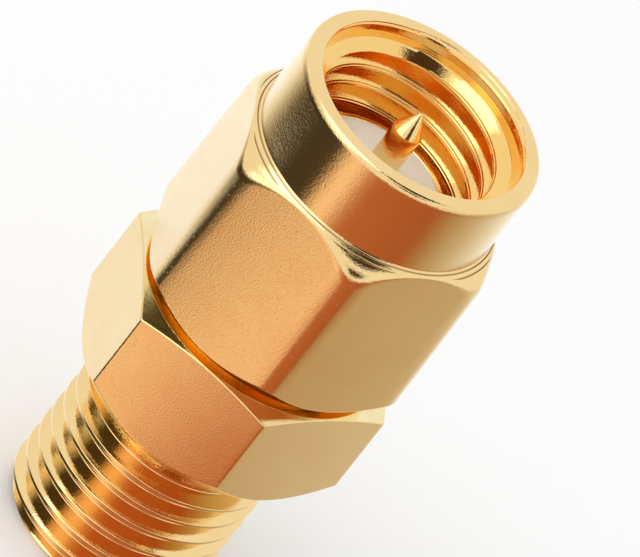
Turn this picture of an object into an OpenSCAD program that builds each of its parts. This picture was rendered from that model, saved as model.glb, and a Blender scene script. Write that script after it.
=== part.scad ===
// Coaxial adapter, size SMA: a plug end with a loose coupling nut, and a threaded jack end.
// It stands on the jack end. +Z points to the plug end, and the Z axis is the centre line.
// All sizes are in millimetres.

/* [Mating interface] */
// Diameter of the pin that enters a mating socket
pin_d = 0.93; // [0.85:0.01:1]
// Wall of the socket around a mating pin, which also sets where both contacts run in the bushes
socket_wall = 0.16; // [0.12:0.01:0.28]
// Diameter of the two dielectric bushes
bush_d = 4.2; // [4:0.05:4.5]
// Wall of the ferrule at the plug end
ferrule_wall = 0.18; // [0.12:0.01:0.3]
// Wall of the jack barrel, from its mouth to the crests of its thread
barrel_wall = 0.875; // [0.8:0.005:1.1]
// Height of the nut's thread, from its crests to the crests of the barrel's thread
thread_h = 0.38; // [0.3:0.01:0.43]
// Distance between the turns of both threads
thread_pitch = 0.7056; // [0.68:0.0001:0.9]
// Width of the crests on the barrel's thread
barrel_crest = 0.21; // [0.1:0.01:0.24]
// Width of the crests in the nut's thread
nut_crest = 0.17; // [0.1:0.01:0.24]
// Depth of the jack mouth
mouth_bore_depth = 1.93; // [1.6:0.01:2.2]

/* [Coupling nut] */
// Length of the nut
nut_len = 8.58; // [8:0.01:10]
// Width across the flats of the nut
nut_af = 8; // [7.8:0.1:9]
// Rounding of the nut's corners
nut_corner_r = 0.5; // [0.2:0.05:0.8]
// Wall of the round collar at the front of the nut, around the rim's opening
collar_wall = 0.5; // [0.3:0.01:0.6]
// Length of the round collar
collar_len = 2.53; // [2:0.01:3.5]
// Slope of the shoulder behind the collar, from the plane of the rim
shoulder_slope = 40; // [20:1:50]
// Chamfer around the nut's rear face
nut_chamfer = 0.13; // [0.05:0.01:0.35]
// Room between the rim's opening and a thread that enters it
rim_room = 0.175; // [0.1:0.005:0.3]
// Depth of the lead from that opening into the thread
rim_lead = 0.37; // [0.2:0.01:0.6]
// Rounding of the outer edge of the rim
rim_round = 0.14; // [0.05:0.01:0.3]
// Depth of the threaded bore below the rim
nut_thread_len = 4.1; // [3.6:0.1:4.3]
// Depth of the groove where the nut's thread ends, beyond the barrel thread's crests
runout_depth = 0.075; // [0.02:0.005:0.2]
// Length of the groove where the nut's thread ends
runout_len = 0.6; // [0.3:0.05:0.8]
// Chamfer at the rear of the nut's bore
rear_lead = 0.2; // [0.05:0.05:0.4]
// Turn of the nut from the rear hexagon
nut_turn = -7; // [-30:1:30]
// Space between the nut and the rear hexagon, with the nut drawn back
nut_gap = 0.22; // [0.1:0.01:0.6]

/* [Jack body] */
// Length of the barrel behind the rear hexagon
barrel_len = 5.5; // [5.3:0.1:7]
// Length of the rear hexagon
hex_len = 3.8; // [3.2:0.1:5]
// Width across the flats of the rear hexagon
hex_af = 8; // [7.8:0.1:9]
// Rounding of the rear hexagon's corners
hex_corner_r = 0.1; // [0.05:0.05:0.5]
// Step from the rear hexagon's flats in to its front face
hex_front_step = 0.07; // [0.02:0.01:0.4]
// Slope of the bevel around that front face
hex_front_slope = 18; // [10:1:45]
// Chamfer around the rear hexagon's rear face
hex_rear_chamfer = 0.3; // [0.05:0.05:0.55]
// Chamfer at the mouth end of the barrel
barrel_chamfer = 0.3; // [0.1:0.05:0.4]
// Chamfer at the mouth of the jack bore
mouth_chamfer = 0.12; // [0.05:0.01:0.2]
// Length of the plain neck between the thread and the hexagon
neck_len = 0.7; // [0.4:0.05:1]
// Depth of that neck below the thread's crests
neck_depth = 0.42; // [0.3:0.02:0.45]

/* [Plug shell] */
// Depth of the ferrule's end face below the rim
ferrule_recess = 2.74; // [2.5:0.01:3]
// Length of the ferrule in front of the gasket seat
ferrule_len = 2.3; // [2:0.05:2.6]
// Chamfer on the ferrule's edges
ferrule_edge = 0.04; // [0.01:0.01:0.06]
// Step from the nut's thread crests out to the shank that the nut turns on
shank_step = 0.105; // [0.06:0.005:0.2]
// Wall of the spigot pressed into the jack body
spigot_wall = 0.49; // [0.4:0.01:0.6]
// Length of the spigot
spigot_len = 3; // [2.4:0.1:3.2]

/* [Retaining ring] */
// How far the ring reaches into the shank and into the nut, from the shank's surface
ring_bite = 0.35; // [0.2:0.01:0.45]
// Thickness of the ring
ring_h = 0.5; // [0.3:0.05:0.7]
// Width of the slot in the ring
ring_slot = 1.2; // [0.6:0.1:2]
// Height of the ring above the nut's rear face
ring_up = 1.7; // [1.2:0.1:2.4]
// Travel of the nut along the shank
nut_float = 0.3; // [0.1:0.02:0.4]

/* [Contacts and gasket] */
// Depth of the pin's tip below the rim
tip_recess = 0.18; // [0:0.01:0.6]
// Length of the pin's conical tip
tip_len = 0.73; // [0.4:0.01:1]
// Diameter of the flat at the pin's tip
tip_d = 0.1; // [0.04:0.01:0.3]
// Depth of each contact's shoulder below the face of its bush
contact_recess = 0.05; // [0.02:0.01:0.1]
// Step from the pin contact out to the collar that holds it
stop_step = 0.315; // [0.2:0.005:0.6]
// Length of that collar
stop_len = 0.8; // [0.5:0.05:1.2]
// Diameter of the stub that joins the pin contact to the socket contact
stub_d = 0.6; // [0.5:0.02:0.62]
// Thickness of the web between that stub and the socket's bore
socket_web = 0.45; // [0.2:0.05:0.8]
// Depth of the socket's bore
socket_depth = 2.9; // [2.6:0.05:3]
// Number of slots in the socket
socket_slots = 4; // [2:1:4]
// Width of a slot in the socket
socket_slot = 0.15; // [0.08:0.01:0.16]
// Length of a slot in the socket
socket_slot_len = 2; // [1.5:0.1:2.4]
// Width of the rear bush's collar, beyond the bush
bush_lip = 0.25; // [0.15:0.01:0.35]
// Length of the rear bush's collar
bush_lip_len = 1; // [0.6:0.05:1.2]
// Thickness of the gasket
gasket_h = 0.8; // [0.5:0.05:1]

/* [Fits] */
// Radial clearance between the nut and what it turns on
run_gap = 0.06; // [0.03:0.01:0.09]
// Axial clearance on each side of the retaining ring
ring_play = 0.02; // [0.01:0.005:0.04]
// Radial clearance between a pressed piece and its seat
seat_gap = 0.01; // [0.005:0.001:0.02]
// Radial clearance between the gasket and the nut's thread
gasket_gap = 0.075; // [0.05:0.005:0.12]
// Radial clearance between a mating pin and the socket
socket_gap = 0.01; // [0.005:0.005:0.03]
// Radial clearance between a mating ferrule and the jack mouth
mouth_gap = 0.01; // [0.005:0.005:0.05]

/* [Hidden] */

$fn = 96;
gold = "#d8a048";
ptfe = "#f2ece0";
silicone = "#8c3b26";
bronze = "#b98a4a";

cut = 1;                                     // how far a cutter runs past a face
edge_steps = 6;                              // steps of a rounded edge
corner_steps = 4;                            // steps of a hexagon's rounded corner
flank_angle = 30;                            // slope of a thread's flanks

// Heights above the end of the barrel
hex_top = barrel_len + hex_len;
nut_rear = hex_top + nut_gap;
rim = nut_rear + nut_len;
face = rim - ferrule_recess;
shank_top = face - ferrule_len;
spigot_end = hex_top - spigot_len;
lip_end = spigot_end - bush_lip_len;
socket_end = mouth_bore_depth + contact_recess;
ring_low = nut_rear + ring_up;
thread_end = rim - nut_thread_len;
pin_tip = rim - tip_recess;
stub_low = socket_end + socket_depth + socket_web + ring_play;

// Radii shared by pieces that fit each other, from the centre line outward
pin_r = pin_d / 2;
contact_r = pin_r + socket_gap + socket_wall;
contact_bore_r = contact_r + seat_gap;
stop_r = contact_r + stop_step;
bush_r = bush_d / 2;
bush_bore_r = bush_r + seat_gap;
lip_r = bush_r + bush_lip;
ferrule_r = bush_bore_r + ferrule_wall;
spigot_r = bush_bore_r + spigot_wall;
mouth_r = ferrule_r + mouth_gap;
thread_r = mouth_r + barrel_wall;
nut_bore_r = thread_r - thread_h;
shank_r = nut_bore_r + shank_step;
shank_bore_r = shank_r + run_gap;
ring_in_r = shank_r - ring_bite;
ring_out_r = shank_r + ring_bite;
rim_r = thread_r + rim_room;
collar_r = rim_r + collar_wall;

// Hexagon with rounded corners, its first corner on +X
module rounded_hexagon(af, corner_r) {
    centre_r = (af / 2 - corner_r) / cos(30);
    polygon([for (i = [0:5], k = [0:corner_steps]) let (a = 60 * (i + k / corner_steps) - 30)
        centre_r * [cos(60 * i), sin(60 * i)] + corner_r * [cos(a), sin(a)]]);
}

// Hexagonal prism cut by two cones. Each cone starts at the edge of a round end face.
module chamfered_hexagon(af, corner_r, low, high, low_r, low_slope, high_r, high_slope) {
    wide = af / 2 / cos(30);
    intersection() {
        translate([0, 0, low]) linear_extrude(high - low) rounded_hexagon(af, corner_r);
        rotate_extrude() polygon([
            [0, low], [low_r, low],
            [wide, low + (wide - low_r) * tan(low_slope)],
            [wide, high - (wide - high_r) * tan(high_slope)],
            [high_r, high], [0, high]]);
    }
}

// Bore along Z between two heights
module bore(r, low, high) {
    translate([0, 0, low]) cylinder(r = r, h = high - low);
}

// Conical lead into a bore of radius r, from radius mouth_r at height z to a depth below it.
// dir is 1 if it opens upward, -1 if downward.
module lead_in(r, mouth_r, depth, z, dir) {
    rotate_extrude() polygon([
        [0, z + dir * cut], [mouth_r, z + dir * cut], [mouth_r, z], [r, z - dir * depth],
        [0, z - dir * depth]]);
}

// Cutters for a thread's turns between two heights, drawn as rings so that the crests stay true
// cylinders. Each ring falls from the crests to the roots at the flanks' slope.
module thread_rings(crest_r, root_r, crest, low, high) {
    flank = abs(crest_r - root_r) * tan(flank_angle);
    width = thread_pitch - crest;
    open_r = crest_r + sign(crest_r - root_r) * cut;
    turns = floor((high - low - crest) / thread_pitch);
    for (i = [0:turns - 1])
        translate([0, 0, low + crest + i * thread_pitch]) rotate_extrude() polygon([
            [open_r, 0], [crest_r, 0], [root_r, flank],
            [root_r, width - flank], [crest_r, width], [open_r, width]]);
}

// Round collar of the nut, with its outer edge rounded
module collar() {
    rotate_extrude() polygon(concat(
        [[0, rim - collar_len - cut], [collar_r, rim - collar_len - cut]],
        [for (i = [0:edge_steps]) let (a = 90 * i / edge_steps)
            [collar_r - rim_round * (1 - cos(a)), rim - rim_round * (1 - sin(a))]],
        [[0, rim]]));
}

module coupling_nut() {
    color(gold) rotate(nut_turn) difference() {
        union() {
            chamfered_hexagon(nut_af, nut_corner_r, nut_rear, rim - collar_len,
                nut_af / 2 - nut_chamfer, 45, collar_r, shoulder_slope);
            collar();
        }
        bore(nut_bore_r, nut_rear - cut, rim + cut);
        lead_in(nut_bore_r, rim_r, rim_lead, rim, 1);
        thread_rings(nut_bore_r, thread_r, nut_crest, thread_end, rim - rim_lead);
        bore(thread_r + runout_depth, thread_end - runout_len, thread_end);
        bore(shank_bore_r, nut_rear - cut, thread_end - runout_len);
        bore(ring_out_r + run_gap, ring_low - ring_play, ring_low + ring_h + ring_play);
        lead_in(shank_bore_r, shank_bore_r + rear_lead, rear_lead, nut_rear, -1);
    }
}

module retaining_ring() {
    color(bronze) difference() {
        bore(ring_out_r, ring_low, ring_low + ring_h);
        bore(ring_in_r, ring_low - cut, ring_low + ring_h + cut);
        translate([-ring_slot / 2, 0, ring_low - cut])
            cube([ring_slot, ring_out_r + cut, ring_h + 2 * cut]);
    }
}

module gasket() {
    color(silicone) difference() {
        bore(nut_bore_r - gasket_gap, shank_top, shank_top + gasket_h);
        bore(ferrule_r + seat_gap, shank_top - cut, shank_top + gasket_h + cut);
    }
}

module plug_shell() {
    color(gold) difference() {
        rotate_extrude() polygon([
            [bush_bore_r, spigot_end], [spigot_r, spigot_end], [spigot_r, hex_top],
            [shank_r, hex_top], [shank_r, shank_top], [ferrule_r, shank_top],
            [ferrule_r, face - ferrule_edge], [ferrule_r - ferrule_edge, face],
            [bush_bore_r + ferrule_edge, face], [bush_bore_r, face - ferrule_edge]]);
        difference() {
            bore(shank_r + cut, ring_low - ring_play, ring_low + ring_h + nut_float + ring_play);
            bore(ring_in_r - run_gap, ring_low - cut, ring_low + ring_h + nut_float + cut);
        }
    }
}

module jack_body() {
    neck_r = thread_r - neck_depth;
    color(gold) difference() {
        union() {
            chamfered_hexagon(hex_af, hex_corner_r, barrel_len, hex_top,
                hex_af / 2 - hex_rear_chamfer, 45, hex_af / 2 - hex_front_step, hex_front_slope);
            rotate_extrude() polygon([
                [0, 0], [thread_r - barrel_chamfer, 0], [thread_r, barrel_chamfer],
                [thread_r, barrel_len - neck_len], [neck_r, barrel_len - neck_len],
                [neck_r, barrel_len + cut], [0, barrel_len + cut]]);
        }
        thread_rings(thread_r, nut_bore_r, barrel_crest, barrel_chamfer, barrel_len - neck_len);
        bore(mouth_r, -cut, mouth_bore_depth);
        lead_in(mouth_r, mouth_r + mouth_chamfer, mouth_chamfer, 0, -1);
        bore(bush_bore_r, 0, hex_top);
        bore(lip_r + seat_gap, lip_end, hex_top);
        bore(spigot_r + seat_gap, spigot_end, hex_top + cut);
    }
}

module pin_contact() {
    shoulder = face - contact_recess;
    color(gold) rotate_extrude() polygon([
        [0, stub_low], [stub_d / 2, stub_low], [stub_d / 2, spigot_end],
        [stop_r, spigot_end], [stop_r, spigot_end + stop_len],
        [contact_r, spigot_end + stop_len], [contact_r, shoulder], [pin_r, shoulder],
        [pin_r, pin_tip - tip_len], [tip_d / 2, pin_tip], [0, pin_tip]]);
}

module socket_contact() {
    color(gold) difference() {
        bore(contact_r, socket_end, spigot_end);
        bore(pin_r + socket_gap, socket_end - cut, socket_end + socket_depth);
        bore(stub_d / 2 + seat_gap, stub_low - ring_play, spigot_end + cut);
        for (i = [0:socket_slots - 1])
            rotate(360 * i / socket_slots) translate([0, -socket_slot / 2, socket_end - cut])
                cube([contact_r + cut, socket_slot, socket_slot_len + cut]);
    }
}

module front_bush() {
    color(ptfe) difference() {
        bore(bush_r, spigot_end, face);
        bore(contact_bore_r, spigot_end - cut, face + cut);
        bore(stop_r + seat_gap, spigot_end - cut, spigot_end + stop_len + seat_gap);
    }
}

module rear_bush() {
    color(ptfe) difference() {
        union() {
            bore(bush_r, mouth_bore_depth, spigot_end);
            bore(lip_r, lip_end, spigot_end);
        }
        bore(contact_bore_r, mouth_bore_depth - cut, spigot_end + cut);
    }
}

coupling_nut();
retaining_ring();
gasket();
plug_shell();
jack_body();
pin_contact();
socket_contact();
front_bush();
rear_bush();
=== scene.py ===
"""Looks, light and camera for a coaxial adapter of size SMA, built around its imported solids.

Builders work in millimetres, and a mesh turns them into metres when it is made.
Angles are counted from +X, counter-clockwise as seen from the plug end.
"""

import logging
import math
from dataclasses import dataclass, field, replace
from enum import Enum

import bmesh
import bpy
import numpy as np
from mathutils import Matrix, Vector


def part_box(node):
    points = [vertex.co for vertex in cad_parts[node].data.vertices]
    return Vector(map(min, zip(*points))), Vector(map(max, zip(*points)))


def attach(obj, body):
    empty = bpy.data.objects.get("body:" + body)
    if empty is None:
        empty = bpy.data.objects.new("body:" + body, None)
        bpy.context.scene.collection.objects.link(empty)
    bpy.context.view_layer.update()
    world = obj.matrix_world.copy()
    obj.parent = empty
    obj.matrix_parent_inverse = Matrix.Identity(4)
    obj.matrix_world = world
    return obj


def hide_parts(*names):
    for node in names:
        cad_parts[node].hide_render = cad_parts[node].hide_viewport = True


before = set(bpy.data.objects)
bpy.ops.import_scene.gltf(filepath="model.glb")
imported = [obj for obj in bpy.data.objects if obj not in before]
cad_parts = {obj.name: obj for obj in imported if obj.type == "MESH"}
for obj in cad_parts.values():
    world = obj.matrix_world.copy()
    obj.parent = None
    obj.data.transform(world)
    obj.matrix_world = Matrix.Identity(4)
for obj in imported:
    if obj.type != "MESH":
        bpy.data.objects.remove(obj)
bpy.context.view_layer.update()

MM = 0.001
FULL_TURN = 2 * math.pi
BOUNCES = 16  # light has to get out of the bore and of the gap behind the nut
SEAM = 2e-7  # metres under which points are merged
SHARP_EDGE = 32  # degrees over which an edge is shaded as sharp
TURN_STEPS = 144  # steps round a turned ring
CONTACT_STEPS = 96  # steps round the pin and round the boards
CARD_STEPS = 48  # steps round a card
log = logging.getLogger("adapter")


# ---------------------------------------------------------------- profiles and surfaces


def ring_of(*corners: tuple) -> np.ndarray:
    """Stacks the corners of a profile.

    Args:
        corners: (radius, height) pairs, each a number or one value for every angle.

    Returns:
        Corners by angles by (radius, height), with numbers spread over the angles.
    """
    flat = np.broadcast_arrays(*[np.asarray(v, float) for pair in corners for v in pair])
    values = np.stack([np.atleast_1d(v) for v in flat])
    return np.stack([values[0::2], values[1::2]], axis=-1)


def ease(corners: np.ndarray, cuts: list, steps: int = 4, closed: bool = True) -> np.ndarray:
    """Rounds the corners of a profile.

    A corner P becomes the curve (1-t)^2 A + 2t(1-t) P + t^2 B, where A and B lie on its two
    legs at the corner's cut, and at most 0.45 of a leg away. One more point holds each leg
    straight just before the curve.

    Args:
        corners: Corners by angles by (radius, height).
        cuts: The cut of each corner, one number or one for each angle, 0 for a sharp corner.
        steps: Steps of each curve.
        closed: Whether the last corner joins the first.

    Returns:
        The denser profile, rows by angles by (radius, height).
    """
    before = np.roll(corners, 1, axis=0) - corners
    after = np.roll(corners, -1, axis=0) - corners
    t = np.linspace(0, 1, steps + 1)[:, None, None]
    rows = []
    for k, cut in enumerate(cuts):
        end = not closed and k in (0, len(cuts) - 1)
        if end or not np.any(cut):
            rows.append(corners[k][None])
            continue
        leg_a = np.linalg.norm(before[k], axis=-1, keepdims=True)
        leg_b = np.linalg.norm(after[k], axis=-1, keepdims=True)
        reach = np.minimum(np.reshape(cut, (-1, 1)), 0.45 * np.minimum(leg_a, leg_b))
        a = before[k] / leg_a
        b = after[k] / leg_b
        p = corners[k]
        curve = (1 - t) ** 2 * (p + a * reach) + 2 * t * (1 - t) * p + t**2 * (p + b * reach)
        rows += [(p + a * reach * 1.15)[None], curve, (p + b * reach * 1.15)[None]]
    return np.concatenate(rows)


def carry(profile: np.ndarray, angles: np.ndarray) -> np.ndarray:
    """Carries a profile round the centre line: x = r cos(a), y = r sin(a), z = height.

    Args:
        profile: Rows by angles by (radius, height); one column serves every angle.
        angles: The angles, or rows by angles where each row has its own.

    Returns:
        Rows by angles by (x, y, z).
    """
    radius, height = profile[..., 0], profile[..., 1]
    angle = np.broadcast_to(angles, np.broadcast_shapes(radius.shape, np.shape(angles)))
    height = np.broadcast_to(height, angle.shape)
    return np.stack([radius * np.cos(angle), radius * np.sin(angle), height], axis=-1)


def even_angles(count: int) -> np.ndarray:
    """A full turn in even steps, its last angle on its first."""
    return np.linspace(0, FULL_TURN, count + 1)


@dataclass(frozen=True)
class Hexagon:
    """The outline of a hexagonal bar with rounded corners."""

    across_flats: float
    corner_r: float
    turn: float
    corner_steps: int = 20
    flat_steps: int = 24

    @property
    def corner_centre(self) -> float:
        """Distance from the centre line to the centre of a corner's rounding."""
        return (self.across_flats / 2 - self.corner_r) / math.cos(math.radians(30))

    def angles(self) -> np.ndarray:
        """Angles of a full turn, close together round each corner.

        On a corner the normal turns in even steps s from -30 to 30 degrees, so the angle is
        atan2(corner_r sin s, centre + corner_r cos s). On a flat the points are evenly spaced.

        Returns:
            The angles, with the first repeated a turn later.
        """
        s = np.radians(np.linspace(-30, 30, self.corner_steps + 1))
        x = self.corner_centre + self.corner_r * np.cos(s)
        corner = np.arctan2(self.corner_r * np.sin(s), x)
        edge = math.radians(30) - corner[-1]
        half = self.across_flats / 2
        along = np.linspace(-half * math.tan(edge), half * math.tan(edge), self.flat_steps + 1)
        flat = math.radians(30) + np.arctan(along / half)
        sector = np.concatenate([corner, flat[1:-1]])
        full = (sector + np.radians(60 * np.arange(6))[:, None]).ravel()
        return math.radians(self.turn) + np.append(full, full[0] + FULL_TURN)

    def radius(self, angles: np.ndarray) -> np.ndarray:
        """Distance from the centre line to the outline.

        With d the angle from the nearest corner, the outline is the flat, half / cos(30 - d),
        or near a corner its rounding, c cos(d) + sqrt(corner_r^2 - c^2 sin(d)^2).

        Args:
            angles: The angles at which it is wanted.

        Returns:
            One radius for each angle.
        """
        sixth = math.radians(60)
        d = np.abs((angles - math.radians(self.turn) + sixth / 2) % sixth - sixth / 2)
        flat = self.across_flats / 2 / np.cos(sixth / 2 - d)
        c = self.corner_centre
        inside = np.maximum(self.corner_r**2 - (c * np.sin(d)) ** 2, 0)
        rounded = c * np.cos(d) + np.sqrt(inside)
        touch = math.atan2(self.corner_r * 0.5, c + self.corner_r * math.cos(sixth / 2))
        return np.where(d < touch, rounded, flat)


@dataclass(frozen=True)
class Thread:
    """A right-hand screw thread with straight flanks and eased crests and roots.

    The ledge steps the upper part of each crest back. Where it lies is set by the shares of
    the crest below it, in its slope and above it.
    """

    crest_r: float
    root_r: float
    low: float
    high: float
    start: float
    crest_flat: float = 0.17
    root_flat: float = 0.03
    pitch: float = 25.4 / 36
    eased: float = 0.02
    fine: float = 0.045
    ledge: float = 0.0
    crest_shares: tuple = (0.55, 0.1, 0.35)

    def section(self) -> np.ndarray:
        """The section along the centre line, from a turn below the thread to a turn above it.

        Returns:
            Points by (height above the start, radius), with heights rising.
        """
        flank = (self.pitch - self.crest_flat - self.root_flat) / 2
        crest = [share * self.crest_flat for share in self.crest_shares]
        marks = np.cumsum([0, *crest, flank, self.root_flat])
        radii = np.repeat([self.crest_r, self.crest_r + self.ledge, self.root_r], 2)
        first = math.floor((self.low - self.start) / self.pitch) - 2
        last = math.ceil((self.high - self.start) / self.pitch) + 2
        turns = np.arange(first, last)[:, None] * self.pitch
        corners = np.stack([(turns + marks).ravel(), np.tile(radii, len(turns))], axis=-1)
        eased = ease(corners[:, None], [self.eased] * len(corners), steps=3, closed=False)[:, 0]
        gaps = np.diff(eased[:, 0])
        parts = [
            np.linspace(a, b, max(2, math.ceil(g / self.fine) + 1))[:-1]
            for a, b, g in zip(eased[:-1], eased[1:], gaps)
        ]
        return np.concatenate(parts)

    def rows(self, angles: np.ndarray) -> np.ndarray:
        """The thread as rows that climb with the helix.

        Height = start + s + pitch a / turn, held between low and high, and the radius is the
        section's at that height, so a full turn brings each row onto the one a pitch above.

        Args:
            angles: A full turn of angles.

        Returns:
            Rows by angles by (radius, height), from low to high.
        """
        s, radius = self.section().T
        climb = self.start + self.pitch * angles / FULL_TURN
        height = np.clip(s[:, None] + climb, self.low, self.high)
        reach = np.interp((height - climb).ravel(), s, radius).reshape(height.shape)
        return np.stack([reach, height], axis=-1)


def placed(name: str, data: bpy.types.ID) -> bpy.types.Object:
    """Makes an object of a mesh, a lamp or a camera, and puts it in the scene."""
    made = bpy.data.objects.new(name, data)
    bpy.context.scene.collection.objects.link(made)
    return made


class Skin:
    """Gathers grids of points into one closed mesh, each grid with one of its finishes."""

    def __init__(self) -> None:
        """Starts with nothing."""
        self.points: list[np.ndarray] = []
        self.faces: list[np.ndarray] = []
        self.finishes: list[np.ndarray] = []
        self.count = 0

    def add(self, grid: np.ndarray, finish: int = 0, keep: np.ndarray | None = None) -> None:
        """Adds a grid whose cells become quads.

        Args:
            grid: Rows by columns by (x, y, z) in millimetres. Seen from outside, rows rise
                where columns turn counter-clockwise.
            finish: Which of the piece's materials it takes.
            keep: Cells to keep, all of them if not given.
        """
        rows, columns = grid.shape[:2]
        index = np.arange(rows * columns).reshape(rows, columns) + self.count
        cells = np.stack([index[:-1, :-1], index[:-1, 1:], index[1:, 1:], index[1:, :-1]], axis=-1)
        chosen = cells.reshape(-1, 4) if keep is None else cells[keep]
        self.points.append(grid.reshape(-1, 3))
        self.faces.append(chosen)
        self.finishes.append(np.full(len(chosen), finish))
        self.count += rows * columns

    def build(self, name: str) -> bpy.types.Object:
        """Sews the grids into a mesh.

        Args:
            name: Name of the piece.

        Returns:
            The object, at the origin, with its faces pointing outwards.
        """
        mesh = bpy.data.meshes.new(name)
        points = np.concatenate(self.points) * MM
        faces = np.concatenate(self.faces)
        mesh.from_pydata(points.tolist(), [], faces.tolist())
        mesh.polygons.foreach_set("material_index", np.concatenate(self.finishes).astype(np.int32))
        work = bmesh.new()
        work.from_mesh(mesh)
        bmesh.ops.remove_doubles(work, verts=work.verts, dist=SEAM)
        bmesh.ops.dissolve_degenerate(work, edges=work.edges, dist=SEAM / 4)
        bmesh.ops.recalc_face_normals(work, faces=work.faces)
        loose = sum(not edge.is_manifold for edge in work.edges)
        work.to_mesh(mesh)
        work.free()
        mesh.shade_smooth()
        mesh.set_sharp_from_angle(angle=math.radians(SHARP_EDGE))
        piece = placed(name, mesh)
        log.info("%s: %d faces, %d open edges", name, len(mesh.polygons), loose)
        return piece


def lathe(name: str, rows: np.ndarray, count: int) -> bpy.types.Object:
    """Makes a piece by carrying a profile round the centre line in even steps."""
    skin = Skin()
    skin.add(carry(rows, even_angles(count)))
    return skin.build(name)


# ---------------------------------------------------------------- shader maths


class Wire:
    """A shader socket that takes part in Python arithmetic through Math nodes."""

    def __init__(self, graph: "Graph", socket: bpy.types.NodeSocket) -> None:
        """Keeps the socket and the graph it is in."""
        self.graph = graph
        self.socket = socket

    def _math(self, operation: str, first: "Wire | float", second: "Wire | float") -> "Wire":
        """One Math node on two values."""
        return self.graph.wire("ShaderNodeMath", {"operation": operation}, {0: first, 1: second})

    def __add__(self, other: "Wire | float") -> "Wire":
        """self + other."""
        return self._math("ADD", self, other)

    def __sub__(self, other: "Wire | float") -> "Wire":
        """self - other."""
        return self._math("SUBTRACT", self, other)

    def __mul__(self, other: "Wire | float") -> "Wire":
        """self * other."""
        return self._math("MULTIPLY", self, other)

    def __pow__(self, other: "Wire | float") -> "Wire":
        """self to the power of other."""
        return self._math("POWER", self, other)

    def __rsub__(self, other: float) -> "Wire":
        """other - self."""
        return self._math("SUBTRACT", other, self)

    __radd__ = __add__
    __rmul__ = __mul__

    def above(self, limit: float, width: float) -> "Wire":
        """0 below the limit and 1 above limit + width, with a straight slope between."""
        return self.graph.wire(
            "ShaderNodeMapRange",
            {"clamp": True},
            {"Value": self, "From Min": limit, "From Max": limit + width},
        )


class Graph:
    """A node tree that is built from values, links and expressions."""

    def __init__(self, tree: bpy.types.NodeTree) -> None:
        """Takes an empty tree."""
        self.tree = tree

    def node(
        self, kind: str, settings: dict | None = None, sockets: dict | None = None
    ) -> bpy.types.Node:
        """Adds a node.

        Args:
            kind: The node's type.
            settings: Its properties, and "stops" for a ramp as (place, colour) pairs.
            sockets: Values or wires for its inputs, by name or number.

        Returns:
            The node.
        """
        made = self.tree.nodes.new(kind)
        for name, value in (settings or {}).items():
            if name == "stops":
                elements = made.color_ramp.elements
                while len(elements) < len(value):
                    elements.new(0.5)
                for element, (place, colour) in zip(elements, value):
                    element.position = place
                    element.color = (*colour, 1)
            else:
                setattr(made, name, value)
        for name, value in (sockets or {}).items():
            if isinstance(value, Wire):
                self.tree.links.new(value.socket, made.inputs[name])
            else:
                made.inputs[name].default_value = value
        return made

    def wire(
        self,
        kind: str,
        settings: dict | None = None,
        sockets: dict | None = None,
        output: int | str = 0,
    ) -> Wire:
        """Adds a node and gives one of its outputs."""
        return Wire(self, self.node(kind, settings, sockets).outputs[output])

    def place(self, stretch: tuple = (1, 1, 1)) -> Wire:
        """Object coordinates in millimetres, times the stretch along each axis."""
        seat = self.wire("ShaderNodeTexCoord", output="Object")
        scale = tuple(s / MM for s in stretch)
        return self.wire("ShaderNodeMapping", sockets={"Vector": seat, "Scale": scale})

    def across(self) -> tuple:
        """Object coordinates across the centre line, and the distance from it.

        Returns:
            Wires of x, y and sqrt(x^2 + y^2), in millimetres.
        """
        place = self.node("ShaderNodeSeparateXYZ", sockets={0: self.place()})
        x, y = Wire(self, place.outputs[0]), Wire(self, place.outputs[1])
        return x, y, (x * x + y * y) ** 0.5

    def noise(self, where: Wire, scale: float, detail: float = 2, rough: float = 0.5) -> Wire:
        """Noise from 0 to 1 with about scale bumps to the millimetre."""
        sockets = {"Vector": where, "Scale": scale, "Detail": detail, "Roughness": rough}
        return self.wire("ShaderNodeTexNoise", sockets=sockets)

    def blend(self, first: tuple | Wire, second: tuple | Wire, share: Wire | float) -> Wire:
        """Mixes two colours, with share 1 for the second."""
        colours = [c if isinstance(c, Wire) else (*c, 1) for c in (first, second)]
        sockets = {0: share, 6: colours[0], 7: colours[1]}
        return self.wire("ShaderNodeMix", {"data_type": "RGBA"}, sockets, output=2)

    def bump(self, height: Wire, distance: float, under: Wire | None = None) -> Wire:
        """A normal from a height.

        Args:
            height: The height, from 0 to 1.
            distance: What a height of 1 stands for, in millimetres.
            under: A normal that this one goes on top of.

        Returns:
            The normal.
        """
        sockets = {"Height": height, "Distance": distance * MM, "Strength": 1}
        if under is not None:
            sockets["Normal"] = under
        return self.wire("ShaderNodeBump", sockets=sockets)


@dataclass(frozen=True)
class Marks:
    """Noise along a stretched direction: how fine, how detailed and how rough it is."""

    stretch: tuple
    scale: float
    detail: float
    rough: float


class Tooling(Enum):
    """How a metal surface was cut: round the centre line, along it, or polished after."""

    TURNED = Marks((0.35, 0.35, 5), 6.0, 3, 0.6)
    MILLED = Marks((1, 1, 4.5), 5.0, 4, 0.62)
    POLISHED = Marks((1, 1, 1), 6.0, 2, 0.5)


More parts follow.
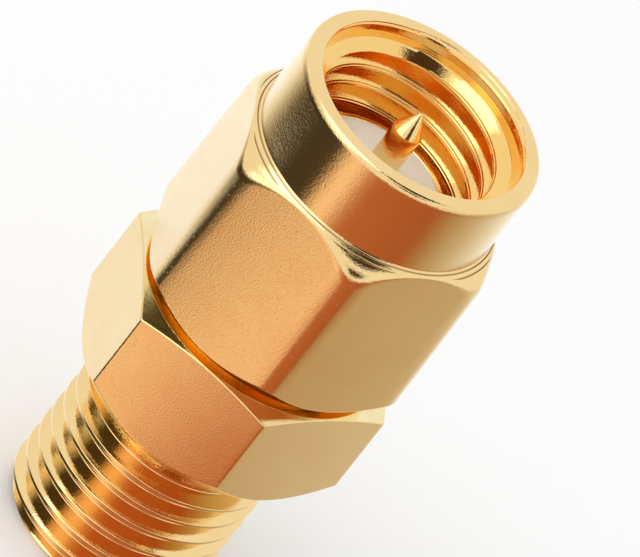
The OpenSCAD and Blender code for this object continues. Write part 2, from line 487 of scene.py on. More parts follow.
@dataclass(frozen=True)
class GoldPlate:
    """Gold plate on machined brass. Heights are in millimetres, scales in marks to the mm."""

    name: str
    tooling: Tooling
    colour: tuple = (0.97, 0.72, 0.34)
    worn: tuple = (0.93, 0.62, 0.26)
    roughness: float = 0.09
    spread: float = 0.06
    marks: float = 0.0048
    mottle: float = 0.0
    mottle_scale: float = 9.0
    grain: float = 0.0024
    grain_scale: float = 18.0
    pits: float = 0.0
    pit_scale: float = 7.0
    pit_reach: float = 0.06
    drift_scale: float = 0.55
    cut_spacing: float = 0.0
    # Painted shade: the colour blended into the fine cuts to darken them
    cut_shade_colour: tuple = (0.30, 0.15, 0.05)

    def tool_marks(self, graph: Graph) -> Wire:
        """The marks that the tool left."""
        kind = self.tooling.value
        return graph.noise(graph.place(kind.stretch), kind.scale, kind.detail, kind.rough)

    def pit(self, graph: Graph, where: Wire) -> Wire:
        """Small round pits of many sizes: 0 at their middles and 1 between them."""
        cells = {"Vector": where, "Scale": self.pit_scale, "Randomness": 1.0}
        speck = graph.wire("ShaderNodeTexVoronoi", {"feature": "F1"}, cells)
        size = graph.noise(where, 1.2, detail=1) * 0.22
        return (speck - size + self.pit_reach).above(0, self.pit_reach)

    def cuts(self, graph: Graph, inner: float) -> Wire:
        """Where the fine cuts round the collar lie, from their distance to the centre line.

        Args:
            graph: The graph.
            inner: Radius from which the cuts are spaced.

        Returns:
            1 in a cut and 0 between the cuts.
        """
        turns = (graph.across()[2] - inner) * (1 / self.cut_spacing)
        part = graph.wire("ShaderNodeMath", {"operation": "PINGPONG"}, {0: turns + 0.5, 1: 0.5})
        return 1 - part.above(0.1, 0.1)

    def material(self, inner: float = 0.0) -> bpy.types.Material:
        """Builds the plate's material: colour drift, tool marks, mottling, grain, pits and painted
        shade in the fine cuts.

        Args:
            inner: Radius from which fine cuts are spaced, where the plate has them.

        Returns:
            The material.
        """
        made, graph, shader = new_material(self.name)
        where = graph.place()
        drift = graph.noise(where, self.drift_scale, detail=3)
        shade = graph.blend(self.colour, self.worn, drift.above(0.45, 0.35) * 0.5)
        marks = self.tool_marks(graph)
        grain = graph.noise(where, self.grain_scale, detail=2, rough=0.6)
        shade = graph.blend(shade, self.worn, grain.above(0.55, 0.2) * 0.35)
        rough = self.roughness + self.spread * (marks + grain - 1)
        normal = graph.bump(marks, self.marks)
        normal = graph.bump(grain, self.grain, under=normal)
        if self.mottle:
            blotch = graph.noise(where, self.mottle_scale, detail=3, rough=0.65)
            normal = graph.bump(blotch, self.mottle, under=normal)
        if self.pits:
            normal = graph.bump(self.pit(graph, where), self.pits, under=normal)
        if self.cut_spacing:
            # Painted shade: the base colour is darkened in the fine cuts, standing in for their
            # dark reflections
            shade = graph.blend(shade, self.cut_shade_colour, self.cuts(graph, inner) * 0.8)
        link(graph, shader, {"Base Color": shade, "Roughness": rough, "Normal": normal})
        shader.inputs["Metallic"].default_value = 1.0
        return made


@dataclass(frozen=True)
class Moulding:
    """A plastic or rubber piece with a faint grain."""

    name: str
    colour: tuple
    tint: tuple
    roughness: float
    subsurface: float = 0.0
    grain: float = 0.003

    def material(self) -> bpy.types.Material:
        """Builds the material: two close colours, grain and an even sheen."""
        made, graph, shader = new_material(self.name)
        cloud = graph.noise(graph.place(), 1.6, detail=3)
        fine = graph.noise(graph.place(), 14.0, detail=2)
        shade = graph.blend(self.colour, self.tint, cloud.above(0.35, 0.3))
        rough = self.roughness + 0.12 * (fine - 0.5)
        normal = graph.bump(fine, self.grain)
        link(graph, shader, {"Base Color": shade, "Roughness": rough, "Normal": normal})
        shader.inputs["Subsurface Weight"].default_value = self.subsurface
        shader.inputs["Subsurface Scale"].default_value = 0.3 * MM
        return made


def new_material(name: str, kind: str = "ShaderNodeBsdfPrincipled") -> tuple:
    """Makes a material whose tree holds only a shader and its output.

    Args:
        name: Name of the material.
        kind: Type of the shader.

    Returns:
        The material, its graph and the shader node.
    """
    made = bpy.data.materials.new(name)
    made.use_nodes = True
    made.node_tree.nodes.clear()
    graph = Graph(made.node_tree)
    shader = graph.node(kind)
    graph.node("ShaderNodeOutputMaterial", sockets={"Surface": Wire(graph, shader.outputs[0])})
    return made, graph, shader


def link(graph: Graph, shader: bpy.types.Node, wires: dict) -> None:
    """Joins wires to a shader's sockets.

    Args:
        graph: The graph that holds them.
        shader: The shader node.
        wires: Wires by socket name.
    """
    for name, wire in wires.items():
        graph.tree.links.new(wire.socket, shader.inputs[name])


# ---------------------------------------------------------------- the adapter's pieces


@dataclass(frozen=True)
class Box:
    """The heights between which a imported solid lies, in millimetres."""

    low: float
    high: float

    @classmethod
    def of(cls, node: str) -> "Box":
        """Reads a node's height range."""
        low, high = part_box(node)
        return cls(low.z / MM, high.z / MM)


def box_of(node: str) -> Box:
    """A field that holds a node's box."""
    return field(default_factory=lambda: Box.of(node))


def dress(piece: bpy.types.Object, body: str, nodes: tuple, finishes: tuple) -> None:
    """Gives a piece its materials, its body and the solids that it stands for.

    Args:
        piece: The piece.
        body: The body that it rides on.
        nodes: The solids that it replaces.
        finishes: Its materials, in the order of its finish numbers.
    """
    for material in finishes:
        piece.data.materials.append(material)
    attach(piece, body)
    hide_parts(*nodes)


@dataclass
class CouplingNut:
    """The loose nut: a hexagon, a sloping shoulder, a round collar and a threaded bore."""

    box: Box = box_of("coupling_nut")
    hexagon: Hexagon = Hexagon(8.0, 0.5, -7.0)
    rear_face_r: float = 3.87
    collar_r: float = 3.85
    collar_len: float = 2.53
    shoulder_slope: float = 40.0
    rim_round: float = 0.05
    rim_bevel: float = 0.05
    rim_bevel_len: float = 0.2
    rim_flat_r: float = 3.72
    rim_r: float = 3.33
    burst_reach: float = 0.2
    burst_from: float = 36.0
    burst_to: float = 124.0
    burst_depth: float = 0.035
    burst_ragged: tuple = ((0.06, 83, 0), (0.05, 131, 1))
    lip_depth: float = 0.05
    lip_len: float = 0.06
    entry_r: float = 3.29
    entry_len: float = 0.33
    ridge_r: float = 3.15
    ridge_len: float = 0.15
    ridges: int = 3
    lead_len: float = 0.7
    bore_r: float = 2.795
    root_r: float = 3.22
    thread_len: float = 4.1
    runout_r: float = 3.25
    runout_len: float = 0.6
    shank_bore_r: float = 2.96
    groove_r: float = 3.31
    groove_low: float = 11.2
    groove_high: float = 11.74
    rear_lead: float = 0.2
    crest_edge: float = 14.974
    worn_corner_r: float = 1.0
    crease: float = 0.06
    corner_crease: float = 0.3
    corner_spread: float = 12.0
    cut_spacing: float = 0.13
    cut_depth: float = 0.03
    cut_fade: float = 0.03
    shoulder_from: float = 4.5
    shoulder_rows: int = 46

    def shoulder_height(self, radius: np.ndarray) -> np.ndarray:
        """Height of the sloping shoulder: collar foot - (r - collar) tan(slope)."""
        fall = (radius - self.collar_r) * math.tan(math.radians(self.shoulder_slope))
        return self.box.high - self.collar_len - fall

    def outside(self, angles: np.ndarray) -> np.ndarray:
        """The rear face, its chamfer and the flats, up to the crease with the shoulder.

        The crease is worn wider at the corners: its cut is crease + corner_crease
        exp(-(d / corner_spread)^2), with d the angle from the nearest corner.
        """
        low = self.box.low
        hexagon = self.hexagon.radius(angles)
        worn_hexagon = replace(self.hexagon, corner_r=self.worn_corner_r).radius(angles)
        corners = ring_of(
            (self.shank_bore_r + self.rear_lead, low),
            (self.rear_face_r, low),
            (hexagon, low + hexagon - self.rear_face_r),
            (worn_hexagon, self.shoulder_height(worn_hexagon)),
            (self.collar_r, self.shoulder_height(self.collar_r)),
        )
        d = (np.degrees(angles) - self.hexagon.turn + 30) % 60 - 30
        worn = self.crease + self.corner_crease * np.exp(-((d / self.corner_spread) ** 2))
        return ease(corners, [0, 0.03, 0.03, worn, 0], steps=8, closed=False)[:-1]

    def shoulder(self, crease_r: np.ndarray) -> np.ndarray:
        """The turned shoulder, with fine cuts round the collar.

        Rows lie at even radii, held inside the crease. A cut is the part of a cosine of the
        radius above a half, and the cuts stop at the crease.

        Args:
            crease_r: Radius of the crease at each angle.

        Returns:
            Rows by angles by (radius, height), from the outside in.
        """
        radii = np.linspace(self.shoulder_from, self.collar_r, self.shoulder_rows)[:, None]
        radius = np.minimum(radii, crease_r)
        wave = np.cos(FULL_TURN * ((radius - self.collar_r) / self.cut_spacing - 0.5))
        fade = np.clip((crease_r - radius) / self.cut_fade, 0, 1)
        cut = self.cut_depth * np.clip(2 * wave - 1, 0, 1) * fade
        return np.stack([radius, self.shoulder_height(radius) - cut], axis=-1)

    def burst(self, angles: np.ndarray) -> np.ndarray:
        """How far the thread's start has broken out into the rim, at each angle.

        A half sine over the stretch that it covers, to the power 0.7, times a ragged edge:
        1 + the sum of size sin(waves a + start).
        """
        span = math.radians(self.burst_to - self.burst_from)
        share = np.clip((angles % FULL_TURN - math.radians(self.burst_from)) / span, 0, 1)
        arch = np.sin(math.pi * share) ** 0.7
        ragged = 1 + sum(n * np.sin(k * angles + start) for n, k, start in self.burst_ragged)
        return self.burst_reach * arch * ragged

    def collar(self, angles: np.ndarray) -> np.ndarray:
        """The collar, its bevelled edge and the rim, in to where the thread has broken out."""
        top = self.box.high
        burst = self.burst(angles)
        corners = ring_of(
            (self.collar_r, self.shoulder_height(self.collar_r)),
            (self.collar_r, top - self.rim_bevel_len),
            (self.collar_r - self.rim_bevel, top - self.rim_round),
            (self.rim_flat_r, top),
            (self.rim_r + burst, top),
            (self.rim_r + 0.93 * burst, top - self.burst_depth),
            (self.rim_r, top - self.lip_depth),
        )
        return ease(corners, [0, 0.08, 0.06, 0.03, 0.01, 0.01, 0], steps=6, closed=False)

    def entry(self, angles: np.ndarray) -> np.ndarray:
        """The bevelled lip, the plain entry and the fine ridges at its foot."""
        top = self.box.high
        count = len(angles)
        low = top - self.entry_len
        corners = ring_of(
            (self.rim_r, top - self.lip_depth),
            (self.entry_r, top - self.lip_depth - self.lip_len),
            (self.entry_r, low),
        )
        step = np.arange(1, 2 * self.ridges + 1)
        radii = self.entry_r + (self.ridge_r - self.entry_r) * (step // 2) / self.ridges
        heights = low - self.ridge_len * ((step + 1) // 2) / self.ridges
        ridges = np.broadcast_to(ring_of((radii, heights))[0][:, None], (len(step), count, 2))
        wall = ease(corners, [0, 0.03, 0], steps=6, closed=False)
        wall = np.broadcast_to(wall, (len(wall), count, 2))
        return np.concatenate([wall, ridges])

    def bore(self, angles: np.ndarray) -> np.ndarray:
        """The lead and the thread, from the end of the plain entry down.

        The bore is the wider of the thread and the lead, a cone that narrows with the depth,
        but along the lead it is no wider than a cone that opens from the ridges to the roots.

        Args:
            angles: A full turn of angles.

        Returns:
            Rows by angles by (radius, height), down to the end of the thread.
        """
        top = self.box.high
        start = top - self.entry_len - self.ridge_len
        thread = Thread(
            self.bore_r,
            self.root_r,
            low=top - self.thread_len,
            high=start,
            start=self.crest_edge,
            fine=0.065,
            ledge=0.03,
        )
        rows = thread.rows(angles)[::-1]
        depth = top - rows[..., 1]
        lead = np.interp(depth, [top - start, self.lead_len], [self.ridge_r, self.bore_r])
        mouth = np.interp(depth, [top - start, self.lead_len], [self.ridge_r, self.root_r])
        rows[..., 0] = np.clip(rows[..., 0], lead, mouth)
        return rows

    def back(self) -> np.ndarray:
        """The run-out groove, the shank's bore, the ring's groove and the rear lead."""
        top = self.box.high - self.thread_len
        runout = top - self.runout_len
        low = self.box.low
        corners = ring_of(
            (self.runout_r, top),
            (self.runout_r, runout),
            (self.shank_bore_r, runout),
            (self.shank_bore_r, self.groove_high),
            (self.groove_r, self.groove_high),
            (self.groove_r, self.groove_low),
            (self.shank_bore_r, self.groove_low),
            (self.shank_bore_r, low + self.rear_lead),
            (self.shank_bore_r + self.rear_lead, low),
        )
        return ease(corners, [0, 0.02, 0.02, 0.02, 0, 0, 0.02, 0.02, 0], steps=2, closed=False)

    def build(self, finishes: tuple) -> None:
        """Makes the nut.

        Args:
            finishes: Materials of the collar, the flats, the thread, the faces at the gap and
                the shoulder.
        """
        angles = self.hexagon.angles()
        skin = Skin()
        outside = self.outside(angles)
        shoulder = self.shoulder(outside[-1, :, 0])
        collar = self.collar(angles)
        mouth = np.concatenate([self.entry(angles), self.bore(angles)])
        back = np.broadcast_to(self.back(), (len(self.back()), len(angles), 2))
        face_rows = 14  # rows on the rear face and its edge
        edge_rows = 10  # rows of the crease
        for rows, finish in (
            (outside[: face_rows + 1], 3),
            (outside[face_rows:-edge_rows], 1),
            (outside[-edge_rows - 1 :], 0),
            (np.concatenate([outside[-1:], shoulder]), 4),
            (collar, 0),
            (np.concatenate([mouth, back[:1]]), 2),
            (back, 3),
        ):
            skin.add(carry(rows, angles), finish)
        dress(skin.build("nut_shell"), "nut", ("coupling_nut",), finishes)


@dataclass
class JackBody:
    """The fixed part: a hexagon, a neck and a threaded barrel with a round mouth."""

    box: Box = box_of("jack_body")
    hexagon: Hexagon = Hexagon(8.0, 0.1, 0.0, corner_steps=8, flat_steps=30)
    barrel_len: float = 5.5
    thread_r: float = 3.175
    neck_r: float = 2.755
    neck_len: float = 0.7
    end_chamfer: float = 0.3
    mouth_r: float = 2.3
    mouth_depth: float = 1.93
    mouth_chamfer: float = 0.12
    front_face_r: float = 3.93
    front_slope: float = 18.0
    rear_face_r: float = 3.7
    bush_bore_r: float = 2.11
    lip_bore_r: float = 2.36
    lip_end: float = 5.3
    spigot_bore_r: float = 2.61
    spigot_end: float = 6.3

    def barrel(self, angles: np.ndarray) -> np.ndarray:
        """The barrel's thread, cut by the chamfer at its end.

        The radius is the smaller of the thread's and the chamfer's, which grows as fast as
        the height until it meets the crests.

        Args:
            angles: A full turn of angles.

        Returns:
            Rows by angles by (radius, height), from the mouth end up.
        """
        thread = Thread(
            self.thread_r,
            self.neck_r,
            0.0,
            self.barrel_len - self.neck_len,
            start=0.1,
            crest_flat=0.1,
            root_flat=0.12,
            eased=0.025,
        )
        rows = thread.rows(angles)
        chamfer = self.thread_r - self.end_chamfer + np.minimum(rows[..., 1], self.end_chamfer)
        rows[..., 0] = np.minimum(rows[..., 0], chamfer)
        return rows

    def hexagon_rows(self, angles: np.ndarray) -> np.ndarray:
        """The neck, the hexagon's rear face and chamfer, its flats, bevel and front face."""
        high = self.box.high
        low = self.barrel_len
        hexagon = self.hexagon.radius(angles)
        bevel = (hexagon - self.front_face_r) * math.tan(math.radians(self.front_slope))
        corners = ring_of(
            (self.neck_r, low - self.neck_len),
            (self.neck_r, low),
            (self.rear_face_r, low),
            (hexagon, low + hexagon - self.rear_face_r),
            (hexagon, high - bevel),
            (self.front_face_r, high),
            (self.spigot_bore_r, high),
        )
        return ease(corners, [0, 0, 0.03, 0.03, 0.035, 0.02, 0], closed=False)

    def inside(self) -> np.ndarray:
        """The stepped bore, from the front face down to the mouth's chamfer."""
        high = self.box.high
        corners = ring_of(
            (self.spigot_bore_r, high),
            (self.spigot_bore_r, self.spigot_end),
            (self.lip_bore_r, self.spigot_end),
            (self.lip_bore_r, self.lip_end),
            (self.bush_bore_r, self.lip_end),
            (self.bush_bore_r, self.mouth_depth),
            (self.mouth_r, self.mouth_depth),
            (self.mouth_r, self.mouth_chamfer),
            (self.mouth_r + self.mouth_chamfer, 0.0),
        )
        return ease(corners, [0, 0, 0, 0, 0, 0.02, 0, 0.02, 0], steps=3, closed=False)

    def build(self, finishes: tuple) -> None:
        """Makes the body.

        Args:
            finishes: Materials of the turned faces, the flats, the thread and the front face.
        """
        angles = self.hexagon.angles()
        skin = Skin()
        barrel = self.barrel(angles)
        rows = self.hexagon_rows(angles)
        inside = self.inside()
        end = np.broadcast_to(inside[-1:], barrel[:1].shape)
        flats_from = 9  # row where the flats begin
        flats_to = 22  # row where the bevel begins
        for part, finish in (
            (np.concatenate([end, barrel, rows[:1]]), 2),
            (rows[: flats_from + 1], 0),
            (rows[flats_from : flats_to + 1], 1),
            (rows[flats_to:], 3),
            (inside, 0),
        ):
            skin.add(carry(part, angles), finish)
        dress(skin.build("body_shell"), "body", ("jack_body",), finishes)


@dataclass
class PlugShell:
    """The turned shell inside the nut: spigot, shank and ferrule."""

    box: Box = box_of("plug_shell")
    bore_r: float = 2.11
    spigot_r: float = 2.6
    spigot_len: float = 3.0
    shank_r: float = 2.9
    groove_r: float = 2.49
    groove_low: float = 11.2
    groove_high: float = 12.04
    ferrule_len: float = 2.3
    ferrule_r: float = 2.29
    edge: float = 0.04

    def build(self, finishes: tuple) -> None:
        """Makes the shell as a closed profile carried round the centre line."""
        low, high = self.box.low, self.box.high
        shank_low = low + self.spigot_len
        shank_high = high - self.ferrule_len
        corners = ring_of(
            (self.bore_r, low),
            (self.spigot_r, low),
            (self.spigot_r, shank_low),
            (self.shank_r, shank_low),
            (self.shank_r, self.groove_low),
            (self.groove_r, self.groove_low),
            (self.groove_r, self.groove_high),
            (self.shank_r, self.groove_high),
            (self.shank_r, shank_high),
            (self.ferrule_r, shank_high),
            (self.ferrule_r, high),
            (self.bore_r, high),
        )
        cuts = [0.02, 0.05, 0, 0.02, 0.02, 0, 0, 0.02, 0.04, 0, self.edge, self.edge]
        rows = ease(corners, cuts)
        piece = lathe("ferrule_shell", np.concatenate([rows, rows[:1]]), TURN_STEPS)
        dress(piece, "body", ("plug_shell",), finishes)


@dataclass
class PinContact:
    """The centre contact: a stub, a collar, the part in the bush and the pointed pin."""

    box: Box = box_of("pin_contact")
    stub_r: float = 0.3
    stub_len: float = 0.95
    stop_r: float = 0.95
    stop_len: float = 0.8
    contact_r: float = 0.635
    shoulder: float = 15.31
    pin_r: float = 0.465
    tip_len: float = 0.73
    tip_r: float = 0.05

    def build(self, finishes: tuple) -> None:
        """Makes the contact as an open profile from pole to pole."""
        low, high = self.box.low, self.box.high
        stop = low + self.stub_len
        corners = ring_of(
            (0.0, low),
            (self.stub_r, low),
            (self.stub_r, stop),
            (self.stop_r, stop),
            (self.stop_r, stop + self.stop_len),
            (self.contact_r, stop + self.stop_len),
            (self.contact_r, self.shoulder),
            (self.pin_r, self.shoulder),
            (self.pin_r, high - self.tip_len),
            (self.tip_r, high),
            (0.0, high),
        )
        cuts = [0, 0.03, 0, 0.03, 0.03, 0, 0.02, 0, 0.02, 0.02, 0]
        piece = lathe("centre_pin", ease(corners, cuts, closed=False), CONTACT_STEPS)
        dress(piece, "body", ("pin_contact",), finishes)


@dataclass
class SocketContact:
    """The contact behind the jack mouth: a sleeve cut into springy fingers."""

    box: Box = box_of("socket_contact")
    outer_r: float = 0.635
    bore_r: float = 0.475
    bore_depth: float = 2.9
    stub_hole_r: float = 0.31
    stub_hole_low: float = 5.33
    slots: int = 4
    slot_width: float = 0.15
    slot_len: float = 2.0
    finger_steps: int = 14

    def angles(self, radius: np.ndarray) -> tuple:
        """Angles whose slot edges are parallel at every radius.

        A slot edge lies at asin(half the width / r), and the fingers fill what is left in
        even steps.

        Args:
            radius: The radius of each row.

        Returns:
            Rows by angles, and which columns lie in a slot.
        """
        half = np.arcsin(np.minimum(self.slot_width / 2 / np.maximum(radius, 0.2), 1))[:, None]
        quarter = FULL_TURN / self.slots
        finger = half + (quarter - 2 * half) * np.linspace(0, 1, self.finger_steps + 1)
        slot = quarter - half + 2 * half * np.array([0.5])
        sector = np.concatenate([finger, slot], axis=1)
        starts = np.repeat(np.arange(self.slots) * quarter, sector.shape[1])
        full = np.tile(sector, self.slots) + starts
        cut = np.tile(np.append(np.zeros(self.finger_steps, bool), [True, True]), self.slots)
        return np.concatenate([full, full[:, :1] + FULL_TURN], axis=1), cut

    def build(self, finishes: tuple) -> None:
        """Makes the sleeve, takes the slots' cells out and closes the fingers' sides."""
        low, high = self.box.low, self.box.high
        slot_end = low + self.slot_len
        corners = ring_of(
            (0.0, low + self.bore_depth),
            (self.bore_r, low + self.bore_depth),
            (self.bore_r, slot_end),
            (self.bore_r, low),
            (self.outer_r, low),
            (self.outer_r, slot_end),
            (self.outer_r, high),
            (self.stub_hole_r, high),
            (self.stub_hole_r, self.stub_hole_low),
            (0.0, self.stub_hole_low),
        )
        rows = ease(corners, [0, 0, 0, 0.06, 0.05, 0, 0.02, 0, 0, 0], closed=False)
        radius, height = rows[:, 0, 0], rows[:, 0, 1]
        angles, cut = self.angles(radius)
        grid = carry(rows, angles)
        first = int(np.argmax((radius == self.bore_r) & (height == slot_end)))
        last = int(np.argmax((radius == self.outer_r) & (height == slot_end)))
        between = np.zeros(len(rows) - 1, bool)
        between[first:last] = True
        skin = Skin()
        skin.add(grid, keep=~(between[:, None] & cut))
        loop = grid[first : last + 1]
        half = len(loop) // 2
        for column in np.flatnonzero(cut):
            if not cut[column - 1]:
                skin.add(np.stack([loop[:half, column], loop[::-1][:half, column]], axis=1))
                pair = [loop[0, column : column + 3], loop[-1, column : column + 3]]
                skin.add(np.stack(pair))
            else:
                edge = column + 1
                skin.add(np.stack([loop[:half, edge], loop[::-1][:half, edge]], axis=1))
        dress(skin.build("socket_sleeve"), "body", ("socket_contact",), finishes)


@dataclass
class Bushes:
    """The two dielectric bushes and the gasket, each a profile carried round the axis."""

    contact_bore_r: float = 0.645
    stop_bore_r: float = 0.96
    stop_bore_len: float = 0.81
    bush_r: float = 2.1
    lip_r: float = 2.35
    lip_end: float = 5.3
    gasket_in_r: float = 2.3
    gasket_out_r: float = 2.72

    def front(self) -> tuple:
        """Corners and cuts of the bush at the plug end."""
        box = Box.of("front_bush")
        corners = ring_of(
            (self.stop_bore_r, box.low),
            (self.bush_r, box.low),
            (self.bush_r, box.high),
            (self.contact_bore_r, box.high),
            (self.contact_bore_r, box.low + self.stop_bore_len),
            (self.stop_bore_r, box.low + self.stop_bore_len),
        )
        return corners, [0.02, 0.04, 0.03, 0.03, 0, 0]

    def rear(self) -> tuple:
        """Corners and cuts of the bush at the jack end."""
        box = Box.of("rear_bush")
        corners = ring_of(
            (self.contact_bore_r, box.low),
            (self.bush_r, box.low),
            (self.bush_r, self.lip_end),
            (self.lip_r, self.lip_end),
            (self.lip_r, box.high),
            (self.contact_bore_r, box.high),
        )
        return corners, [0.03, 0.03, 0, 0.03, 0.03, 0.02]

    def seal(self) -> tuple:
        """Corners and cuts of the gasket."""
        box = Box.of("gasket")
        corners = ring_of(
            (self.gasket_in_r, box.low),
            (self.gasket_out_r, box.low),
            (self.gasket_out_r, box.high),
            (self.gasket_in_r, box.high),
        )
        return corners, [0.06, 0.06, 0.1, 0.08]

    def build(self, ptfe: bpy.types.Material, silicone: bpy.types.Material) -> None:
        """Makes the three rings.

        Args:
            ptfe: Material of the bushes.
            silicone: Material of the gasket.
        """
        for name, node, slot, made, material in (
            ("front_insulator", "front_bush", "ptfe", self.front(), ptfe),
            ("rear_insulator", "rear_bush", "ptfe", self.rear(), ptfe),
            ("seal_ring", "gasket", "silicone", self.seal(), silicone),
        ):
            rows = ease(*made, steps=5)
            piece = lathe(name, np.concatenate([rows, rows[:1]]), TURN_STEPS)
            dress(piece, "body", (node,), (material,))


# ---------------------------------------------------------------- floor, light and camera


def direction(azimuth: float, elevation: float) -> Vector:
    """The unit vector at an azimuth and an elevation in degrees."""
    a, e = math.radians(azimuth), math.radians(elevation)
    return Vector((math.cos(e) * math.cos(a), math.cos(e) * math.sin(a), math.sin(e)))


@dataclass(frozen=True)
class Viewpoint:
    """The camera's place, as angles in degrees and millimetres."""

    azimuth: float = -84.9
    elevation: float = 34.3
    lean: float = 38.1
    distance: float = 600.0
    pixels_per_mm: float = 35.55
    image_width: int = 640
    right_of_centre: float = 2.945
    above_centre: float = 4.74

    def axes(self) -> tuple:
        """Right, up and back of the camera.

        Back is the direction to the camera. The centre line leans to the right of up by
        the lean, so right and up are the upright pair turned by it.

        Returns:
            Three unit vectors.
        """
        t = math.radians(self.lean)
        back = direction(self.azimuth, self.elevation)
        rise = (Vector((0, 0, 1)) - back * back.z).normalized()
        side = rise.cross(back)
        right = side * math.cos(t) + rise * math.sin(t)
        up = rise * math.cos(t) - side * math.sin(t)
        return right, up, back

    def build(self, rim_height: float) -> None:
        """Makes the camera and aims it.

        Args:
            rim_height: Height of the nut's rim in millimetres. The rim's centre shows to the
                right of and above the middle of the view.
        """
        right, up, back = self.axes()
        rim = Vector((0, 0, rim_height))
        aim = rim - right * self.right_of_centre - up * self.above_centre
        place = (aim + back * self.distance) * MM
        data = bpy.data.cameras.new("camera")
        data.sensor_width = 36.0
        data.lens = self.pixels_per_mm * self.distance / self.image_width * data.sensor_width
        data.clip_start = 0.02
        data.clip_end = 5.0
        camera = placed("camera", data)
        turn = Matrix((right, up, back)).transposed().to_4x4()
        camera.matrix_world = Matrix.Translation(place) @ turn
        bpy.context.scene.camera = camera


def for_shine_only(board: bpy.types.Object) -> None:
    """Marks a board as part of the stage that only glossy reflections show."""
    board.visible_camera = False
    board.visible_diffuse = False
    board.visible_shadow = False
    board.visible_transmission = False


@dataclass(frozen=True)
class Studio:
    """A pale floor under a soft white sky, with boards that only the metal's shine shows.

    The boards lie round the foot of the adapter as one disc, whose light changes with the
    angle about the centre line. They light nothing else, and the floor stays white.
    """

    floor_size: float = 400.0
    floor_colour: tuple = (0.93, 0.93, 0.93)
    sky: float = 0.92
    board_r: float = 150.0
    board_height: float = 0.02
    board_light: float = 1.7
    boards: tuple = (
        (0, (0.50, 0.40, 0.28)),
        (18, (0.62, 0.56, 0.50)),
        (35, (0.76, 0.75, 0.76)),
        (60, (0.95, 1.00, 1.10)),
        (85, (1.08, 1.16, 1.35)),
        (140, (1.08, 1.16, 1.32)),
        (155, (0.90, 0.92, 0.94)),
        (166, (0.55, 0.52, 0.46)),
        (178, (0.16, 0.13, 0.09)),
        (190, (0.05, 0.04, 0.03)),
        (242, (0.07, 0.055, 0.035)),
        (250, (0.80, 0.55, 0.39)),
        (258, (1.05, 0.77, 0.60)),
        (265, (0.95, 0.65, 0.50)),
        (272, (0.64, 0.32, 0.21)),
        (281, (0.49, 0.16, 0.075)),
        (335, (0.41, 0.12, 0.05)),
        (347, (0.43, 0.24, 0.13)),
        (360, (0.50, 0.40, 0.28)),
    )
    board_twist: float = 8.0
    board_twist_r: float = 28.0
    near_light: tuple = (0.98, 1.02, 1.12)
    near_from: float = 20.5
    near_to: float = 26.0
    near_on: tuple = (150, 8)
    near_off: tuple = (194, 22)
    key_azimuth: float = 215.0
    key_elevation: float = 66.0
    key_distance: float = 160.0
    key_size: float = 110.0
    key_light: float = 1.5
    cards: tuple = (
        ("dark_card_high", 335.0, 70.0, 42.0, (0.06, 0.035, 0.025)),
        ("dark_card_low", 306.0, 28.0, 38.0, (0.10, 0.055, 0.03)),
        ("pale_card", 232.0, 27.0, 62.0, (1.7, 1.65, 1.6)),
    )

    def floor(self) -> None:
        """Makes the floor."""
        half = self.floor_size / 2 * MM
        mesh = bpy.data.meshes.new("floor")
        corners = [(-half, -half, 0), (half, -half, 0), (half, half, 0), (-half, half, 0)]
        mesh.from_pydata(corners, [], [(0, 1, 2, 3)])
        floor = placed("floor", mesh)
        made, _, shader = new_material("floor_white")
        shader.inputs["Base Color"].default_value = (*self.floor_colour, 1)
        shader.inputs["Roughness"].default_value = 0.9
        mesh.materials.append(made)

    def board_disc(self) -> None:
        """Makes the boards: a disc whose light follows the angle about the centre line.

        Near the adapter the light is turned a little, and pale between the angles at which
        near_on begins and near_off ends. Both hold an angle and how long the change takes.
        """
        rows = np.array([[[0.5, self.board_height]], [[self.board_r, self.board_height]]])
        disc = lathe("boards", rows[::-1], CONTACT_STEPS)
        made, graph, shader = new_material("board_light", "ShaderNodeEmission")
        x, y, reach = graph.across()
        twist = (1 - reach.above(0, self.board_twist_r)) * (self.board_twist / 360)
        angle = graph.wire("ShaderNodeMath", {"operation": "ARCTAN2"}, {0: y, 1: x})
        turned = angle * (1 / FULL_TURN) + twist + 1.0
        around = graph.wire("ShaderNodeMath", {"operation": "FRACT"}, {0: turned})
        stops = [
            (degrees / 360, tuple(part / self.board_light for part in colour))
            for degrees, colour in self.boards
        ]
        colour = graph.wire("ShaderNodeValToRGB", {"stops": stops}, {0: around})
        steps = (self.near_on, self.near_off)
        on, off = (around.above(*(degrees / 360 for degrees in step)) for step in steps)
        near = on * (1 - off) * (1 - reach.above(self.near_from, self.near_to - self.near_from))
        lit = tuple(part / self.board_light for part in self.near_light)
        link(graph, shader, {"Color": graph.blend(colour, lit, near)})
        shader.inputs["Strength"].default_value = self.board_light
        disc.data.materials.append(made)
        for_shine_only(disc)

    def card(
        self, name: str, azimuth: float, elevation: float, reach: float, light: tuple
    ) -> None:
        """Makes a disc out in front of the adapter that only its shine shows.

        Args:
            name: Name of the disc.
            azimuth: Where it stands, in degrees.
            elevation: How high it stands, in degrees.
            reach: Radius of the disc.
            light: Colour of its light.
        """
        card = lathe(name, np.array([[[0.01, 0.0]], [[reach, 0.0]]]), CARD_STEPS)
        self.aim(card, azimuth, elevation)
        made, _, shader = new_material(name, "ShaderNodeEmission")
        shader.inputs["Color"].default_value = (*light, 1)
        card.data.materials.append(made)
        for_shine_only(card)

    def aim(self, thing: bpy.types.Object, azimuth: float, elevation: float) -> None:
        """Puts a lamp or a card at the lamps' distance, facing the adapter."""
        toward = direction(azimuth, elevation)
        thing.location = toward * self.key_distance * MM
        thing.rotation_euler = toward.to_track_quat("Z", "Y").to_euler()

    def key(self) -> None:
        """Makes the soft key lamp."""
        data = bpy.data.lights.new("key", "AREA")
        data.shape = "DISK"
        data.size = self.key_size * MM
        data.energy = self.key_light * math.pi**2 * (data.size / 2) ** 2
        self.aim(placed("key", data), self.key_azimuth, self.key_elevation)

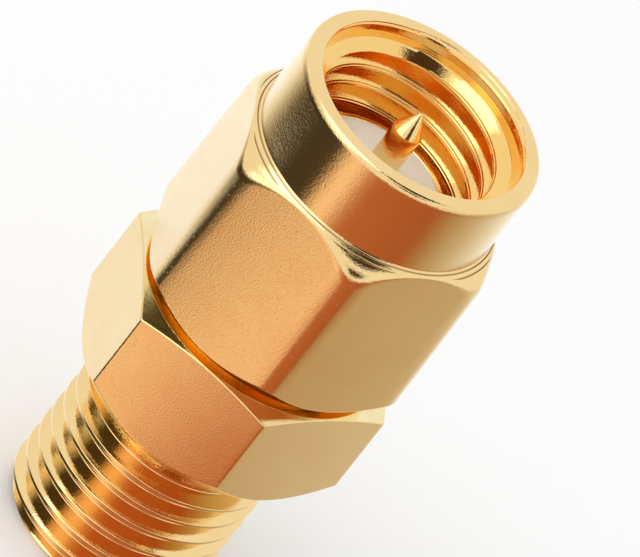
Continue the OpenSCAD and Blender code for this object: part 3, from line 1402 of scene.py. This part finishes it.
    def build(self) -> None:
        """Makes the floor, the boards, the key lamp and the sky."""
        self.floor()
        self.board_disc()
        for card in self.cards:
            self.card(*card)
        self.key()
        world = bpy.data.worlds.new("sky")
        bpy.context.scene.world = world
        world.use_nodes = True
        background = world.node_tree.nodes["Background"]
        background.inputs["Color"].default_value = (1, 1, 1, 1)
        background.inputs["Strength"].default_value = self.sky


def main() -> None:
    """Builds the adapter, the studio and the camera."""
    logging.basicConfig(level=logging.INFO, format="%(name)s: %(message)s")
    bpy.context.scene.view_settings.view_transform = "Standard"
    bpy.context.scene.cycles.max_bounces = BOUNCES
    bpy.context.scene.cycles.glossy_bounces = BOUNCES
    nut = CouplingNut()
    turned = GoldPlate("gold_turned", Tooling.TURNED, mottle=0.004, marks=0.0024).material()
    milled = GoldPlate(
        "gold_milled",
        Tooling.MILLED,
        roughness=0.15,
        marks=0.0028,
        grain=0.0072,
        grain_scale=22.0,
        pits=0.008,
    ).material()
    threaded = GoldPlate(
        "gold_threaded", Tooling.POLISHED, colour=(1.0, 0.66, 0.22), roughness=0.08, marks=0.0012
    ).material()
    # Painted light: a paler gold for the faces at the gap behind the nut and for the ferrule
    # shell, standing in for the light that bounces about in the gap
    gap_painted_light = GoldPlate(
        "gold_gap_painted_light", Tooling.TURNED, colour=(0.98, 0.86, 0.52), marks=0.0016
    ).material()
    shoulder = GoldPlate(
        "gold_shoulder", Tooling.TURNED, marks=0.0024, cut_spacing=nut.cut_spacing
    ).material(nut.collar_r)
    polished = GoldPlate(
        "gold_polished", Tooling.POLISHED, roughness=0.07, marks=0.0016
    ).material()
    bronze = GoldPlate(
        "spring_bronze", Tooling.TURNED, colour=(0.80, 0.52, 0.22), worn=(0.66, 0.40, 0.16)
    ).material()
    ptfe = Moulding("ptfe_white", (0.92, 0.84, 0.70), (0.94, 0.87, 0.76), 0.42, 0.3).material()
    silicone = Moulding("silicone_red", (0.60, 0.13, 0.07), (0.50, 0.09, 0.05), 0.35).material()
    nut.build((turned, milled, threaded, gap_painted_light, shoulder))
    JackBody().build((turned, milled, polished, gap_painted_light))
    PlugShell().build((gap_painted_light,))
    PinContact().build((polished,))
    SocketContact().build((polished,))
    Bushes().build(ptfe, silicone)
    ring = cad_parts["retaining_ring"]
    ring.data.materials.clear()
    ring.data.materials.append(bronze)
    Studio().build()
    Viewpoint().build(nut.box.high)


if __name__ == "__main__":
    main()
